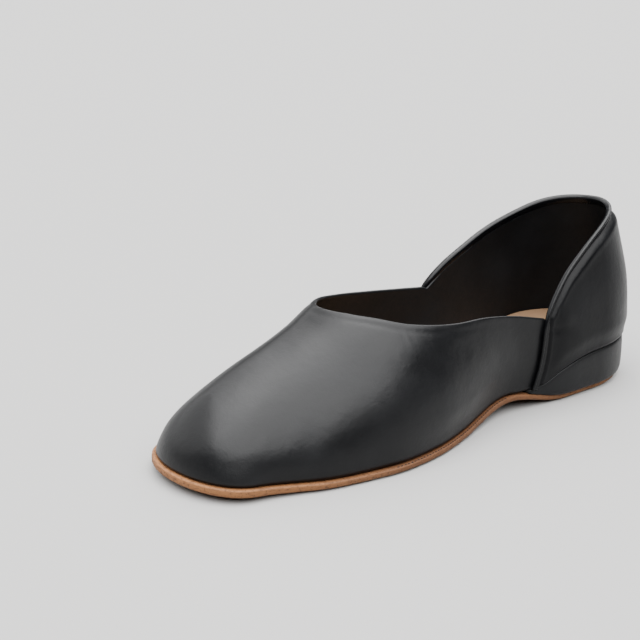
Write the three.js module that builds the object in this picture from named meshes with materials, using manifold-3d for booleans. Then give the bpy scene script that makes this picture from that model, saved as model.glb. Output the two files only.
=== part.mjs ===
// Closed-back leather house slipper for the left foot, standing empty on its sole.
// Millimetres, +Z up, toe towards -Y, the outer side of the foot towards +X.
// Every piece follows one last: an outline, a line for the foot bed and a set of sections.

import * as THREE from 'three';
import Module from 'manifold-3d';

// Last and soles
const length = 296;           // outsole, toe tip to heel back
const ballWidth = 96;         // outsole across the ball of the foot
const heelWidth = 66;         // outsole across the heel
const instepHeight = 69.5;    // top of the vamp at the throat, from the floor
const heelHeight = 19.2;      // covered wedge at its highest
const soleThickness = 4.8;
const toeSpring = 3.5;        // lift of the sole under the toe tip
const archRise = 6;           // lift of the sole under the waist
const toeRound = 25;          // depth of the round end at the toe
const heelRound = 42;         // depth of the round end at the heel
const toeAxis = -7;           // toe tip beside the heel's centre line

// Leathers, edges and clearances
const wall = 1.9;             // upper leather with its lining
const quarterWall = 1.4;
const fit = 0.3;              // clearance between two pieces that meet
const soleBevel = 0.8;        // softening of the sole's edges
const soleLedge = 1.9;        // sole edge standing out from the upper, at the forefoot
const heelOverhang = 2.8;     // upper standing out over the sole edge, at the heel
const wedgeOverhang = 2.4;    // wedge standing out over the sole edge
const wedgeBevel = 1.2;       // rounding of the wedge's top edge
const insoleThickness = 2;
const bindingWidth = 4.6;     // rolled edge along the leather
const bindingHeight = 3.2;    // rolled edge out of the leather

// Top line of vamp and collar, heights from the floor
const throatPlace = 96.5;     // throat behind the toe tip
const seamPlace = 210;        // outer side seam behind the toe tip, at its top
const seamHeight = 50;        // top of the outer side seam
const innerSeamPlace = 180;   // the same on the inner side
const innerSeamHeight = 58;
const seamLean = 3.5;         // foot of each side seam in front of its top
const collarHeight = 99;      // top of the collar at the heel back

// Outline of the fore sole. at: share of the length from the toe; outer, inner: shares of the
// ball width, from the heel's centre line
const soleRows = [
  { at: 0.000, outer: 0.323, inner: 0.422 },
  { at: 0.084, outer: 0.333, inner: 0.429 },
  { at: 0.128, outer: 0.370, inner: 0.443 },
  { at: 0.196, outer: 0.444, inner: 0.464 },
  { at: 0.275, outer: 0.492, inner: 0.482 },
  { at: 0.340, outer: 0.514, inner: 0.474 },
  { at: 0.426, outer: 0.483, inner: 0.427 },
  { at: 0.497, outer: 0.420, inner: 0.370 },
  { at: 0.554, outer: 0.363, inner: 0.323 },
  { at: 0.600, outer: 0.326, inner: 0.292 },
  { at: 0.645, outer: 0.313, inner: 0.281 },
];
// Outline of the heel. outer, inner: shares of half the heel width
const heelRows = [
  { at: 0.700, outer: 0.955, inner: 0.870 },
  { at: 0.753, outer: 1.000, inner: 0.955 },
  { at: 0.840, outer: 1.010, inner: 1.010 },
  { at: 1.000, outer: 1.000, inner: 1.000 },
];
// Lift of the foot bed by the wedge. lift: share of the heel height
const wedgeRows = [
  { at: 0.665, lift: 0.00 },
  { at: 0.696, lift: 0.09 },
  { at: 0.723, lift: 0.31 },
  { at: 0.757, lift: 0.67 },
  { at: 0.810, lift: 0.91 },
  { at: 0.878, lift: 1.00 },
  { at: 1.000, lift: 1.00 },
];
// Ridge of the last. top: its height, share of the instep height; across: its place across the
// shoe, share of the ball width
const ridgeRows = [
  { at: 0.00, top: 0.420, across: -0.075 },
  { at: 0.09, top: 0.535, across: -0.080 },
  { at: 0.15, top: 0.640, across: -0.085 },
  { at: 0.22, top: 0.760, across: -0.095 },
  { at: 0.28, top: 0.880, across: -0.100 },
  { at: 0.34, top: 1.020, across: -0.105 },
  { at: 0.50, top: 1.250, across: -0.070 },
  { at: 0.64, top: 1.450, across: -0.020 },
  { at: 0.77, top: 1.610, across: 0.000 },
  { at: 1.00, top: 1.700, across: 0.000 },
];
// Sections of the last. roof: how far out the top stays flat, share of the way to the side; outerUp,
// innerUp: how far up the sides stay steep, share of the height; bulge: sides out, share of the
// ball width
const sectionRows = [
  { at: 0.00, roof: 0.40, outerUp: 0.48, innerUp: 0.30, bulge: 0.00 },
  { at: 0.09, roof: 0.40, outerUp: 0.48, innerUp: 0.32, bulge: 0.00 },
  { at: 0.15, roof: 0.42, outerUp: 0.54, innerUp: 0.42, bulge: 0.00 },
  { at: 0.22, roof: 0.44, outerUp: 0.58, innerUp: 0.48, bulge: 0.00 },
  { at: 0.28, roof: 0.44, outerUp: 0.62, innerUp: 0.54, bulge: 0.00 },
  { at: 0.34, roof: 0.50, outerUp: 0.64, innerUp: 0.60, bulge: 0.00 },
  { at: 0.50, roof: 0.62, outerUp: 0.64, innerUp: 0.64, bulge: 0.06 },
  { at: 0.64, roof: 0.76, outerUp: 0.66, innerUp: 0.66, bulge: 0.12 },
  { at: 0.77, roof: 0.80, outerUp: 0.62, innerUp: 0.62, bulge: 0.02 },
  { at: 1.00, roof: 0.67, outerUp: 0.56, innerUp: 0.56, bulge: -0.03 },
];
// Shares of the length
const springEnd = 0.27;       // the toe spring is gone
const archFrom = 0.43;        // the sole leaves the floor
const archTop = 0.645;        // the arch is highest
const archTo = 0.775;         // the sole is back on the floor
const axisTurn = 0.50;        // the toe's axis has come to the heel's centre line
const heelFrom = 0.62;        // the upper starts to widen over the heel
const heelTo = 0.80;          // and is at its widest
const toePole = 0.09;         // the sections fan round this place at the toe
const heelPole = 0.86;        // and round this one at the heel
// Top line of the vamp. at: share of the way from the throat to the side seam; outer, inner:
// share of the drop from the instep height to the top of the seam
const vampRows = [
  { at: 0.00, outer: 0.00, inner: 0.00 },
  { at: 0.08, outer: 0.07, inner: 0.07 },
  { at: 0.20, outer: 0.24, inner: 0.24 },
  { at: 0.44, outer: 0.45, inner: 0.50 },
  { at: 0.62, outer: 0.53, inner: 0.66 },
  { at: 0.80, outer: 0.71, inner: 0.82 },
  { at: 1.00, outer: 1.00, inner: 1.00 },
];
// Top line of the collar. at: share of the way from the seam to the heel back; outer, inner:
// share of the rise from the top of the seam to the collar height
const collarRows = [
  { at: 0.00, outer: 0.00, inner: 0.00 },
  { at: 0.10, outer: 0.27, inner: 0.24 },
  { at: 0.18, outer: 0.45, inner: 0.36 },
  { at: 0.31, outer: 0.62, inner: 0.52 },
  { at: 0.44, outer: 0.76, inner: 0.65 },
  { at: 0.58, outer: 0.88, inner: 0.76 },
  { at: 0.75, outer: 0.96, inner: 0.90 },
  { at: 1.00, outer: 1.00, inner: 1.00 },
];

// Side of the heel wedge. up: share of its thickness; inset: share of its bevel
const wedgeSideRows = [
  { up: 0.00, inset: 1.00 },
  { up: 0.12, inset: 0.33 },
  { up: 0.40, inset: 0.00 },
  { up: 0.85, inset: 0.33 },
  { up: 1.00, inset: 1.00 },
];

// Sampling of the surfaces
const toeSteps = 6;
const middleSteps = 19;
const heelSteps = 7;
const sectionSteps = 11;
const topLineSteps = 15;
const seamSteps = 6;
const collarSteps = 36;
const acrossSteps = 6;
const bindingSides = 8;
const halvings = 30;
const wayStep = 0.2;
const riseStep = 0.02;

const { clamp, lerp, smoothstep } = THREE.MathUtils;

// One column of a table at a share, smoothly between its rows
function along(rows, column, at) {
  const last = rows.length - 1;
  let row = 0;
  while (row < last - 1 && at > rows[row + 1].at) row += 1;
  const slope = (index) => {
    const before = rows[Math.max(index - 1, 0)];
    const after = rows[Math.min(index + 1, last)];
    return (after[column] - before[column]) / (after.at - before.at);
  };
  const start = rows[row];
  const end = rows[row + 1];
  const span = end.at - start.at;
  const t = clamp((at - start.at) / span, 0, 1);
  const rise = end[column] - start[column];
  const leave = slope(row) * span;
  const arrive = slope(row + 1) * span;
  const bend = 3 * rise - 2 * leave - arrive;
  const twist = leave + arrive - 2 * rise;
  return start[column] + t * (leave + t * (bend + t * twist));
}

// Places along the length are measured from the toe tip, y from the middle of the sole
const yOf = (place) => place - length / 2;
const shareOf = (y) => clamp(y / length + 0.5, 0, 1);

function soleBottom(y) {
  const at = shareOf(y);
  const spring = Math.max(0, 1 - at / springEnd);
  const arch = smoothstep(at, archFrom, archTop) ** 2 * (1 - smoothstep(at, archTop, archTo));
  return toeSpring * spring * spring + archRise * arch;
}
const soleTop = (y) => soleBottom(y) + soleThickness;

function footBed(y) {
  const at = Math.max(shareOf(y), wedgeRows[0].at);
  return soleTop(y) + fit + heelHeight * along(wedgeRows, 'lift', at);
}

// Half widths of the whole sole in millimetres
const widthRows = [
  ...soleRows.map(({ at, outer, inner }) => (
    { at, outer: outer * ballWidth, inner: inner * ballWidth })),
  ...heelRows.map(({ at, outer, inner }) => (
    { at, outer: outer * heelWidth / 2, inner: inner * heelWidth / 2 })),
];

// Stations run from 0 at the toe tip to backStation at the heel back, closer in the round ends
const backStation = toeSteps + middleSteps + heelSteps;
const turn = 2 * backStation;
function placeOf(station) {
  if (station < toeSteps) {
    return toeRound * (1 - Math.cos(station / toeSteps * Math.PI / 2));
  }
  const heelStart = toeSteps + middleSteps;
  if (station <= heelStart) {
    return toeRound + (length - toeRound - heelRound) * (station - toeSteps) / middleSteps;
  }
  return length - heelRound * (1 - Math.sin((station - heelStart) / heelSteps * Math.PI / 2));
}

// A way goes once round the sole: out along the outer side and home along the inner side
const wrap = (way) => (way % turn + turn) % turn;
const stationAt = (way) => Math.min(wrap(way), turn - wrap(way));
const sideAt = (way) => (wrap(way) <= backStation ? 1 : -1);

function edge(way) {
  const place = placeOf(stationAt(way));
  const side = sideAt(way);
  const at = place / length;
  const toe = Math.max(0, 1 - place / toeRound);
  const heel = Math.max(0, 1 - (length - place) / heelRound);
  const round = Math.sqrt((1 - toe * toe) * (1 - heel * heel));
  const axis = toeAxis * (1 - smoothstep(at, 0, axisTurn));
  const reach = along(widthRows, side > 0 ? 'outer' : 'inner', at) - side * axis;
  return new THREE.Vector2(axis + side * reach * round, yOf(place));
}

function outwards(way) {
  const ahead = edge(way + wayStep).sub(edge(way - wayStep));
  return new THREE.Vector2(ahead.y, -ahead.x).normalize();
}

const insetEdge = (way, inset) => edge(way).addScaledVector(outwards(way), -inset);

// Ridge of the last above a place
function ridge(place) {
  const at = place / length;
  return new THREE.Vector3(
    along(ridgeRows, 'across', at) * ballWidth,
    yOf(place),
    along(ridgeRows, 'top', at) * instepHeight,
  );
}

// Climb of the ridge at the place that a way's section ends on
const poleOf = (way) => clamp(placeOf(stationAt(way)) / length, toePole, heelPole) * length;
const climbAt = (place) => ridge(place + 1).sub(ridge(place - 1)).divideScalar(2);

// Surface of the last. rise goes from 0 at the sole to 1 at the ridge
function lastPoint(way, rise) {
  const place = placeOf(stationAt(way));
  const at = place / length;
  const heel = smoothstep(at, heelFrom, heelTo);
  const ledge = lerp(soleLedge, fit + quarterWall - heelOverhang, heel);
  const foot = insetEdge(way, ledge + wall);
  const low = footBed(foot.y);
  const top = ridge(poleOf(way));
  const climb = climbAt(poleOf(way)).z;
  const steep = sideAt(way) > 0 ? 'outerUp' : 'innerUp';
  const bulge = along(sectionRows, 'bulge', at) * ballWidth;
  const out = outwards(way);
  const upright = lerp(low, top.z, along(sectionRows, steep, at));
  const roof = along(sectionRows, 'roof', at);
  const curve = new THREE.CubicBezierCurve3(
    new THREE.Vector3(foot.x, foot.y, low),
    new THREE.Vector3(foot.x + out.x * bulge, foot.y + out.y * bulge, upright),
    new THREE.Vector3(
      lerp(top.x, foot.x, roof),
      lerp(top.y, foot.y, roof),
      top.z + climb * roof * (foot.y - top.y),
    ),
    top,
  );
  return curve.getPoint(rise);
}

// Outward direction of the last's surface
function lastNormal(way, rise) {
  if (rise === 0) {
    const out = outwards(way);
    return new THREE.Vector3(out.x, out.y, 0);
  }
  if (rise === 1) {
    const climb = climbAt(poleOf(way));
    return new THREE.Vector3(0, -climb.z, climb.y).normalize();
  }
  const round = lastPoint(way + wayStep, rise).sub(lastPoint(way - wayStep, rise));
  const up = lastPoint(way, rise + riseStep).sub(lastPoint(way, rise - riseStep));
  return round.cross(up).normalize();
}

const skinPoint = (way, rise, offset) => (
  lastPoint(way, rise).addScaledVector(lastNormal(way, rise), offset)
);

const wasm = await Module();
wasm.setup();

// Closed solid from points and triangles. Points in one place become one
function solid(points, triangles) {
  const places = new Map();
  const values = [];
  const numbers = points.map((point) => {
    const key = point.toArray().map((value) => value.toFixed(4)).join();
    if (!places.has(key)) {
      places.set(key, places.size);
      values.push(point.x, point.y, point.z);
    }
    return places.get(key);
  });
  const faces = triangles
    .map((corners) => corners.map((corner) => numbers[corner]))
    .filter(([a, b, c]) => a !== b && b !== c && c !== a);
  return new wasm.Manifold(new wasm.Mesh({
    numProp: 3,
    vertProperties: new Float32Array(values),
    triVerts: new Uint32Array(faces.flat()),
  }));
}

const quad = (a, b, c, d) => [[a, b, c], [a, c, d]];

// Solid from level rings of points, lowest first, closed across from side to side
function ringSolid(rings) {
  const count = rings[0].length;
  const half = Math.floor(count / 2);
  const top = (rings.length - 1) * count;
  const triangles = [];
  for (let low = 0; low < top; low += count) {
    for (let i = 0; i < count; i += 1) {
      const next = (i + 1) % count;
      triangles.push(...quad(low + i, low + next, low + next + count, low + i + count));
    }
  }
  for (let i = 0; i < half; i += 1) {
    const across = (2 * half - i) % count;
    const farther = 2 * half - i - 1;
    triangles.push(...quad(i, across, farther, i + 1));
    triangles.push(...quad(top + i, top + i + 1, top + farther, top + across));
  }
  return solid(rings.flat(), triangles);
}

// Solid through rings of points, closed at both ends. section: the ring's corners in its own
// plane, seen along the rings and running to the left
function tubeSolid(rings, section) {
  const count = rings[0].length;
  const end = (rings.length - 1) * count;
  const triangles = [];
  for (let low = 0; low < end; low += count) {
    for (let i = 0; i < count; i += 1) {
      const next = (i + 1) % count;
      triangles.push(...quad(low + i, low + i + count, low + next + count, low + next));
    }
  }
  THREE.ShapeUtils.triangulateShape(section, []).forEach(([a, b, c]) => {
    triangles.push([a, b, c], [end + a, end + c, end + b]);
  });
  return solid(rings.flat(), triangles);
}

const ways = Array.from({ length: turn }, (unused, way) => way);

// The last grown by an offset, standing on the foot bed or reaching below it
function form(offset, below = 0) {
  const rings = [];
  for (let step = 0; step <= sectionSteps; step += 1) {
    rings.push(ways.map((way) => skinPoint(way, step / sectionSteps, offset)));
  }
  rings[0].forEach((point) => {
    point.z = footBed(point.y) - below;
  });
  return ringSolid(rings);
}

// Block cut to a side view, a list of [y, z], from the middle plane out to one side
function sideBlock(view, side) {
  const count = view.length;
  const reach = side * ballWidth;
  const points = [0, reach].flatMap((x) => view.map(([y, z]) => new THREE.Vector3(x, y, z)));
  const flat = view.map(([y, z]) => new THREE.Vector2(y, z));
  const triangles = THREE.ShapeUtils.triangulateShape(flat, []).flatMap(([a, b, c]) => (
    [[c, b, a], [a + count, b + count, c + count]]
  ));
  for (let i = 0; i < count; i += 1) {
    const next = (i + 1) % count;
    triangles.push(...quad(i, next, next + count, i + count));
  }
  return solid(points, side > 0 ? triangles : triangles.map(([a, b, c]) => [a, c, b]));
}

// Farther out than the shoe, for what cuts it
const above = instepHeight + collarHeight;
const beyond = length;

// Height of the top line at a y on one side
const seamY = (side) => yOf(side > 0 ? seamPlace : innerSeamPlace);
const seamTop = (side) => (side > 0 ? seamHeight : innerSeamHeight);
const throatY = yOf(throatPlace);
const heelY = yOf(length + 2 * heelOverhang);
function topLine(y, side, sink = 0) {
  const column = side > 0 ? 'outer' : 'inner';
  if (y < seamY(side)) {
    const drop = along(vampRows, column, clamp((y - throatY) / (seamY(side) - throatY), 0, 1));
    return lerp(instepHeight, seamTop(side), drop);
  }
  const rise = along(collarRows, column, clamp((y - seamY(side)) / (heelY - seamY(side)), 0, 1));
  return lerp(seamTop(side), collarHeight, rise) - sink;
}

// The same anywhere across the shoe, going over from side to side in its middle third
const middleThird = heelWidth / 3;
function topLineAt(x, y, sink) {
  const share = smoothstep(x, -middleThird, middleThird);
  return lerp(topLine(y, -1, sink), topLine(y, 1, sink), share);
}

// Numbers from a start to an end in even steps
const steps = (start, end, count) => (
  Array.from({ length: count + 1 }, (unused, step) => lerp(start, end, step / count))
);

// Everything over the top line; over the collar it starts below the binding
function opening() {
  const across = [-ballWidth, ...steps(-middleThird, middleThird, acrossSteps), ballWidth];
  const bounds = [throatY, seamY(-1), seamY(1), heelY];
  const ys = bounds.slice(1).flatMap((end, index) => steps(bounds[index] + fit, end, topLineSteps));
  const rings = across.map((x) => [
    new THREE.Vector3(x, throatY + fit, above),
    new THREE.Vector3(x, heelY, above),
    ...ys.map((y) => new THREE.Vector3(x, y, topLineAt(x, y, bindingHeight + fit))).reverse(),
  ]);
  return tubeSolid(rings, rings[0].map((point) => new THREE.Vector2(point.z, point.y)));
}

const group = new THREE.Group();

function addMesh(name, body, look) {
  const { vertProperties, triVerts } = body.getMesh();
  const geometry = new THREE.BufferGeometry();
  geometry.setAttribute('position', new THREE.BufferAttribute(Float32Array.from(vertProperties), 3));
  geometry.setIndex(new THREE.BufferAttribute(Uint32Array.from(triVerts), 1));
  geometry.computeVertexNormals();
  const mesh = new THREE.Mesh(geometry, new THREE.MeshStandardMaterial(look));
  mesh.name = name;
  group.add(mesh);
}

// Outsole: one layer of leather from toe to heel with softened edges
function outsole() {
  const ring = (inset, height) => ways.map((way) => {
    const point = insetEdge(way, inset);
    return new THREE.Vector3(point.x, point.y, height(point.y));
  });
  return ringSolid([
    ring(soleBevel, soleBottom),
    ring(0, (y) => soleBottom(y) + soleBevel),
    ring(0, (y) => soleTop(y) - soleBevel),
    ring(soleBevel, soleTop),
  ]);
}

// Everything over the foot bed raised by a height, or under it
function bedBlock(height, over) {
  const view = [];
  for (let station = 0; station <= backStation; station += 1) {
    const y = yOf(placeOf(station));
    view.push([y, footBed(y) + height]);
  }
  const end = over ? above : -above;
  const corners = [
    ...view,
    [beyond, view.at(-1)[1]],
    [beyond, end],
    [-beyond, end],
    [-beyond, view[0][1]],
  ];
  if (!over) corners.reverse();
  return sideBlock(corners, 1).add(sideBlock(corners, -1));
}

// Insole: a sock of leather that fills the inside on the foot bed
const insole = () => form(-fit).subtract(bedBlock(insoleThickness, true));

// Heel wedge: between outsole and upper, thinning out under the waist to a lip as thick as a fit
function wedge() {
  const low = (y) => soleTop(y) + fit;
  const high = (y) => footBed(y) - fit;
  const front = ways.findIndex((way) => {
    const y = yOf(placeOf(way));
    return high(y) - low(y) > 2 * fit;
  });
  const heelWays = ways.slice(front, turn - front + 1);
  return ringSolid(wedgeSideRows.map(({ up, inset }) => heelWays.map((way) => {
    const widen = smoothstep(placeOf(stationAt(way)) / length, heelFrom, heelTo);
    const point = insetEdge(way, lerp(soleLedge, -wedgeOverhang, widen) + inset * wedgeBevel);
    return new THREE.Vector3(point.x, point.y, lerp(low(point.y), high(point.y), up));
  })));
}

// Share at which a rising measure passes zero, found by halving
function shareWhere(measure) {
  let low = 0;
  let high = 1;
  for (let step = 0; step < halvings; step += 1) {
    const half = (low + high) / 2;
    if (measure(half) < 0) low = half;
    else high = half;
  }
  return low;
}

function wayAt(y, side) {
  const station = shareWhere((share) => yOf(placeOf(share * backStation)) - y) * backStation;
  return side > 0 ? station : turn - station;
}

// y of a seam at a height
function seamAt(z, side) {
  const low = footBed(seamY(side));
  const share = clamp((z - low) / (seamTop(side) - low), 0, 1);
  return seamY(side) - seamLean * (1 - share) ** 3;
}

// Places of the binding on the last: up one seam, round the collar and down the other seam. drop:
// how far a place hangs below the foot bed
function bindingPath() {
  const seatOffset = wall + fit + bindingHeight / 2;
  const topOffset = (wall + fit + quarterWall) / 2;
  const seam = (side) => {
    const foot = footBed(seamAt(0, side));
    const heights = steps(foot - bindingWidth, seamTop(side) - bindingHeight, seamSteps);
    return heights.map((z) => {
      const way = wayAt(seamAt(z, side), side);
      const rise = shareWhere((share) => lastPoint(way, share).z - z);
      return { way, rise, offset: seatOffset, drop: Math.max(0, foot - z) };
    });
  };
  const first = wayAt(seamY(1) + bindingWidth, 1);
  const last = wayAt(seamY(-1) + bindingWidth, -1);
  const collar = steps(first, last, collarSteps).map((way) => {
    const side = sideAt(way);
    const rise = shareWhere((share) => {
      const point = lastPoint(way, share);
      return point.z - (topLine(point.y, side) - bindingHeight / 2);
    });
    return { way, rise, offset: topOffset, drop: 0 };
  });
  return [...seam(1), ...collar, ...seam(-1).reverse()];
}

// Binding, thicker by a margin where it is used to cut
function binding(margin) {
  const path = bindingPath();
  const centres = path.map(({ way, rise, offset, drop }) => {
    const point = skinPoint(way, rise, offset);
    point.z -= drop;
    return point;
  });
  const section = ways.slice(0, bindingSides).map((corner) => {
    const angle = 2 * Math.PI * (corner + 0.5) / bindingSides;
    return new THREE.Vector2(
      Math.cos(angle) * (bindingWidth / 2 + margin),
      Math.sin(angle) * (bindingHeight / 2 + margin),
    );
  });
  const rings = path.map(({ way, rise }, index) => {
    const next = centres[Math.min(index + 1, path.length - 1)];
    const before = centres[Math.max(index - 1, 0)];
    const ahead = next.clone().sub(before).normalize();
    const across = ahead.clone().cross(lastNormal(way, rise)).normalize();
    const out = across.clone().cross(ahead);
    return section.map((corner) => centres[index].clone()
      .addScaledVector(across, corner.x)
      .addScaledVector(out, corner.y));
  });
  return tubeSolid(rings, section).subtract(bedBlock(0, false));
}

// Everything in front of one side seam, as far back as under the binding
function beforeSeam(side) {
  const top = seamTop(side) + bindingHeight;
  const seam = steps(0, top, seamSteps).map((z) => [seamAt(z, side) + bindingWidth / 4, z]);
  return sideBlock([...seam, [seam.at(-1)[0], above], [-beyond, above], [-beyond, 0]], side);
}

const edgeCut = binding(fit);
const mouth = opening();

// Upper: vamp and lining in one shell, from toe to heel back, open on top and underneath
const upper = () => form(wall)
  .subtract(form(0, fit))
  .subtract(mouth)
  .subtract(edgeCut);

// Quarter: the outer leather round the heel, from one side seam to the other
const quarter = () => form(wall + fit + quarterWall)
  .subtract(form(wall + fit, fit))
  .subtract(mouth)
  .subtract(beforeSeam(1))
  .subtract(beforeSeam(-1))
  .subtract(edgeCut);

addMesh('outsole', outsole(), { color: 0xb27a48, roughness: 0.75, metalness: 0 });
addMesh('heel_wedge', wedge(), { color: 0x141416, roughness: 0.4, metalness: 0 });
addMesh('insole', insole(), { color: 0xb98a5c, roughness: 0.7, metalness: 0 });
addMesh('upper', upper(), { color: 0x141416, roughness: 0.4, metalness: 0 });
addMesh('quarter', quarter(), { color: 0x161618, roughness: 0.4, metalness: 0 });
addMesh('collar_binding', binding(0), { color: 0x141416, roughness: 0.35, metalness: 0 });

// The origin is at the bottom of the shoe, in the middle of its length and width
const box = new THREE.Box3().setFromObject(group);
const middle = box.getCenter(new THREE.Vector3());
group.position.set(-middle.x, -middle.y, -box.min.z);

export default group;
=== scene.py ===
import math

import bmesh
import bpy
import numpy as np
from mathutils import Matrix, Vector


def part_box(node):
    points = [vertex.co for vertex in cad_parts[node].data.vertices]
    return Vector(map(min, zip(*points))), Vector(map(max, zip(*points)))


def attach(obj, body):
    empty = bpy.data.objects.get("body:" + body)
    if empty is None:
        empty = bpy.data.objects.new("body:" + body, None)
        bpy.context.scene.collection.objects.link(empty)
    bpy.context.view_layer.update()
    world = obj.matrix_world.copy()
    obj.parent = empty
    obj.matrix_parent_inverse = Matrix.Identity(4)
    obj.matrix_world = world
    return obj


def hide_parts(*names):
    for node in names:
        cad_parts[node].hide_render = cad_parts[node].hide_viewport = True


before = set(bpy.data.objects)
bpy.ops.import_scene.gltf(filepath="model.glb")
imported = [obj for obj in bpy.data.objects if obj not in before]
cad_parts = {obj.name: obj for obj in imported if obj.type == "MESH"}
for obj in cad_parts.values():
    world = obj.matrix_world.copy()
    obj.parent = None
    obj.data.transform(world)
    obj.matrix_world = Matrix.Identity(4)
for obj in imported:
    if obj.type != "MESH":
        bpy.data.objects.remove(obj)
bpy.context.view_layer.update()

# Driving sizes of the shoe in millimetres, toe towards -Y, outer side towards +X
LENGTH = 296.0
BALL_WIDTH = 96.0
HEEL_WIDTH = 66.0
INSTEP_HEIGHT = 69.5
HEEL_HEIGHT = 19.2
SOLE_THICKNESS = 4.8
TOE_SPRING = 3.5
ARCH_RISE = 6.0
TOE_ROUND = 25.0
HEEL_ROUND = 42.0
TOE_AXIS = -7.0
WALL = 1.9
QUARTER_WALL = 1.4
LEAST_WALL = 0.3
FIT = 0.3
SOLE_LEDGE = 1.9
HEEL_OVERHANG = 2.8
WEDGE_OVERHANG = 2.4
INSOLE_THICKNESS = 2.0
BINDING_WIDTH = 4.6
BINDING_HEIGHT = 3.2
SEAM_FLATNESS = 0.68
THROAT_PLACE = 96.5
SEAM_PLACE = {1: 210.0, -1: 180.0}
SEAM_HEIGHT = {1: 50.0, -1: 58.0}
SEAM_LEAN = 3.5
COLLAR_HEIGHT = 99.0
# Behind the toe the sole's visible edge is thinner, and the leather above it is drawn down to it
SOLE_SHAVE, SHAVE_REACH = 1.1, 7.0
# The covered wedge starts where it is this high
LEAST_WEDGE = 4 * FIT

# Shares of the length where something starts or ends
SPRING_END = 0.27
ARCH_FROM, ARCH_TOP, ARCH_TO = 0.43, 0.645, 0.775
AXIS_TURN = 0.50
HEEL_FROM, HEEL_TO = 0.62, 0.80
TOE_POLES, HEEL_POLE = (0.05, 0.08, 0.11, 0.14), 0.86
TOE_SOFT_FROM, TOE_SOFT_TO = 0.10, 0.30
TOE_SPREAD = 13.0
SHAVE_FROM, SHAVE_TO = 0.03, 0.24
# Share of a section's height from which the toe is evened out fully
EVEN_FULLY = 0.2

# Stations over which the sections' sides and shoulders are rounded at the toe
SIDE_SPREAD, SHOULDER_SPREAD = 1.5, 4.0

# Stations of the outline from the toe tip to the heel back
TOE_STEPS, MIDDLE_STEPS, HEEL_STEPS = 6, 19, 7
BACK = TOE_STEPS + MIDDLE_STEPS + HEEL_STEPS
TAU = 2 * math.pi
TURN = 2 * BACK
OUTER, INNER = 1, -1


def table(columns, *rows):
    """A short table with named columns."""
    return dict(zip(columns.split(), np.array(rows, float).T))


# Half widths of the sole in millimetres from the heel's centre line
SOLE = table(
    "at outer inner",
    (0.000, 0.323, 0.422),
    (0.084, 0.333, 0.429),
    (0.128, 0.370, 0.443),
    (0.196, 0.444, 0.464),
    (0.275, 0.492, 0.482),
    (0.340, 0.514, 0.474),
    (0.426, 0.483, 0.427),
    (0.497, 0.420, 0.370),
    (0.554, 0.363, 0.323),
    (0.600, 0.326, 0.292),
    (0.645, 0.313, 0.281),
)
HEEL = table(
    "at outer inner",
    (0.700, 0.955, 0.870),
    (0.753, 1.000, 0.955),
    (0.840, 1.010, 1.010),
    (1.000, 1.000, 1.000),
)
WIDTHS = {"at": np.concatenate([SOLE["at"], HEEL["at"]])}
for column in ("outer", "inner"):
    WIDTHS[column] = np.concatenate([SOLE[column] * BALL_WIDTH, HEEL[column] * HEEL_WIDTH / 2])
# Lift of the foot bed, share of the heel height
WEDGE = table(
    "at lift",
    (0.665, 0.00),
    (0.696, 0.09),
    (0.723, 0.31),
    (0.757, 0.67),
    (0.810, 0.91),
    (0.878, 1.00),
    (1.000, 1.00),
)
# Ridge of the last: height as a share of the instep height, place as a share of the ball width
RIDGE = table(
    "at top across",
    (0.00, 0.420, -0.075),
    (0.09, 0.535, -0.080),
    (0.15, 0.640, -0.085),
    (0.22, 0.760, -0.095),
    (0.28, 0.880, -0.100),
    (0.34, 1.020, -0.105),
    (0.50, 1.250, -0.070),
    (0.64, 1.450, -0.020),
    (0.77, 1.610, 0.000),
    (1.00, 1.700, 0.000),
)
# Sections of the last: width of the roof, steep part of each side, bulge of the sides
SECTION = table(
    "at roof outerUp innerUp bulge",
    (0.00, 0.40, 0.48, 0.30, 0.00),
    (0.09, 0.40, 0.48, 0.32, 0.00),
    (0.15, 0.42, 0.54, 0.42, 0.00),
    (0.22, 0.44, 0.58, 0.48, 0.00),
    (0.28, 0.44, 0.62, 0.54, 0.00),
    (0.34, 0.50, 0.64, 0.60, 0.00),
    (0.50, 0.62, 0.64, 0.64, 0.06),
    (0.64, 0.76, 0.66, 0.66, 0.12),
    (0.77, 0.80, 0.62, 0.62, 0.02),
    (1.00, 0.67, 0.56, 0.56, -0.03),
)
# Top line of the vamp from the throat to the seam, share of the drop
VAMP = table(
    "at outer inner",
    (0.00, 0.00, 0.00),
    (0.08, 0.07, 0.07),
    (0.20, 0.24, 0.24),
    (0.44, 0.45, 0.50),
    (0.62, 0.53, 0.66),
    (0.80, 0.71, 0.82),
    (1.00, 1.00, 1.00),
)
# Top line of the collar from the seam to the heel back, share of the rise
COLLAR = table(
    "at outer inner",
    (0.00, 0.00, 0.00),
    (0.10, 0.27, 0.24),
    (0.18, 0.45, 0.36),
    (0.31, 0.62, 0.52),
    (0.44, 0.76, 0.65),
    (0.58, 0.88, 0.76),
    (0.75, 0.96, 0.90),
    (1.00, 1.00, 1.00),
)
# Section of the collar's edge. along: away from the opening, out: away from the leather, shares of
# half the width and half the height. A bead at the edge, a groove and a low strip
EDGE_SECTION = table(
    "along out",
    (-1.00, 0.00),
    (-0.99, 0.45),
    (-0.87, 0.82),
    (-0.64, 0.98),
    (-0.41, 0.84),
    (-0.28, 0.45),
    (-0.20, -0.05),
    (-0.08, -0.20),
    (0.25, -0.12),
    (0.60, -0.12),
    (0.85, -0.14),
    (0.95, -0.22),
    (1.00, -0.50),
    (0.80, -0.95),
    (-0.50, -1.00),
    (-0.90, -0.60),
)


def smoothstep(x, low, high):
    t = np.clip((x - low) / (high - low), 0, 1)
    return t * t * (3 - 2 * t)


def mix(a, b, t):
    return a + (b - a) * t


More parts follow.
